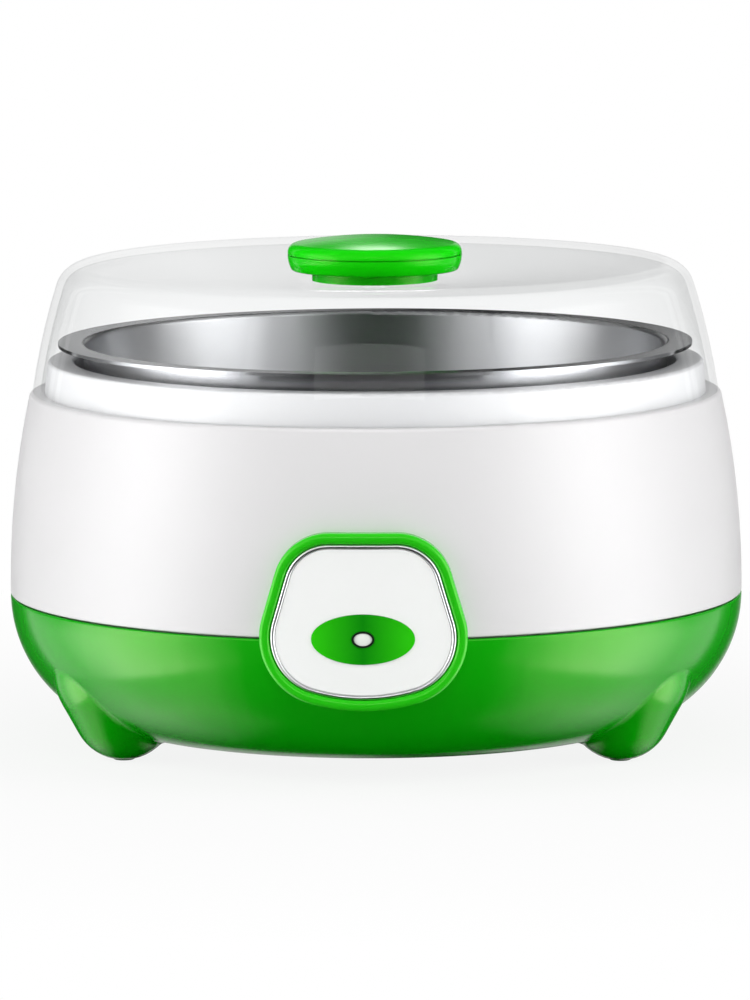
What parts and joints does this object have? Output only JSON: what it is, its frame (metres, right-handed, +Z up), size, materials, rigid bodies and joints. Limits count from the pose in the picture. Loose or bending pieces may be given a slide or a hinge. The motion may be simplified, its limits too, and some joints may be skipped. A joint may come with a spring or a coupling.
{
  "type": "yogurt maker",
  "caption": "Round electric yogurt maker: clear lid with a knob, lift-out steel pot, white barrel body and a bowl-shaped green base on rounded feet, with an indicator lamp in a front panel.",
  "frame": {"origin": "on the floor under the centre of the body", "axes": "+Z up along the axis of the body, -Y towards the front panel, +X to the right seen from the front"},
  "size_m": [0.175, 0.1795, 0.121],
  "materials": {
    "lid_clear": "clear, polished",
    "knob_green": "gloss",
    "base_green": "gloss",
    "frame_green": "gloss",
    "body_white": "gloss",
    "liner_white": "satin",
    "plate_white": "gloss",
    "window_green": "gloss",
    "pot_steel": "fine brushed",
    "trim_chrome": "bright",
    "lamp_dark": "matt",
    "lamp_clear": "frosted",
    "led_clear": "clear",
    "board": "solder mask",
    "resistor": "lacquer",
    "plate_aluminium": "turned",
    "strap_steel": "zinc plated",
    "screw_steel": "zinc plated",
    "electrode": "bright",
    "heater_ceramic": "fired ceramic",
    "film": "amber film",
    "seal_rubber": "silicone",
    "pad_rubber": "matt",
    "fuse_can": "plated can",
    "sleeve": "woven glass",
    "inlet_black": "satin",
    "pin_brass": "bright",
    "lead_brown": "insulated",
    "lead_blue": "insulated",
    "lead_white": "insulated"
  },
  "bodies": {
    "housing": {"outer_shell": "body_white", "inner_liner": "liner_white", "base_shell": "base_green", "panel_frame": "frame_green", "chrome_ring": "trim_chrome", "front_plate": "plate_white", "oval_window": "window_green", "lamp_ring": "lamp_dark", "lamp_lens": "lamp_clear", "lamp_board": "board", "lamp_led": "led_clear", "lamp_resistor": "resistor", "board_screws": "screw_steel", "heating_plate": "plate_aluminium", "plate_seal": "seal_rubber", "ptc_chip": "heater_ceramic", "ptc_electrodes": "electrode", "ptc_insulation": "film", "heater_bridge": "strap_steel", "bridge_screws": "screw_steel", "thermal_fuse": "fuse_can", "fuse_sleeve": "sleeve", "fuse_clip": "strap_steel", "clip_screw": "screw_steel", "inlet_housing": "inlet_black", "inlet_pins": "pin_brass", "live_lead": "lead_brown", "fuse_lead": "lead_brown", "neutral_lead": "lead_blue", "lamp_leads": "lead_white", "base_screws": "screw_steel", "foot_pads": "pad_rubber"},
    "pot": {"inner_pot": "pot_steel"},
    "lid": {"lid_dome": "lid_clear", "knob_cap": "knob_green", "knob_base": "knob_green", "knob_screw": "lid_clear", "knob_washer": "lid_clear"}
  },
  "joints": [
    {"name": "pot_lift", "type": "slide", "parent": "housing", "child": "pot", "axis": [0, 0, 1], "range_m": [0, 0.09]},
    {"name": "lid_lift", "type": "slide", "parent": "pot", "child": "lid", "axis": [0, 0, 1], "range_m": [0, 0.08]}
  ]
}
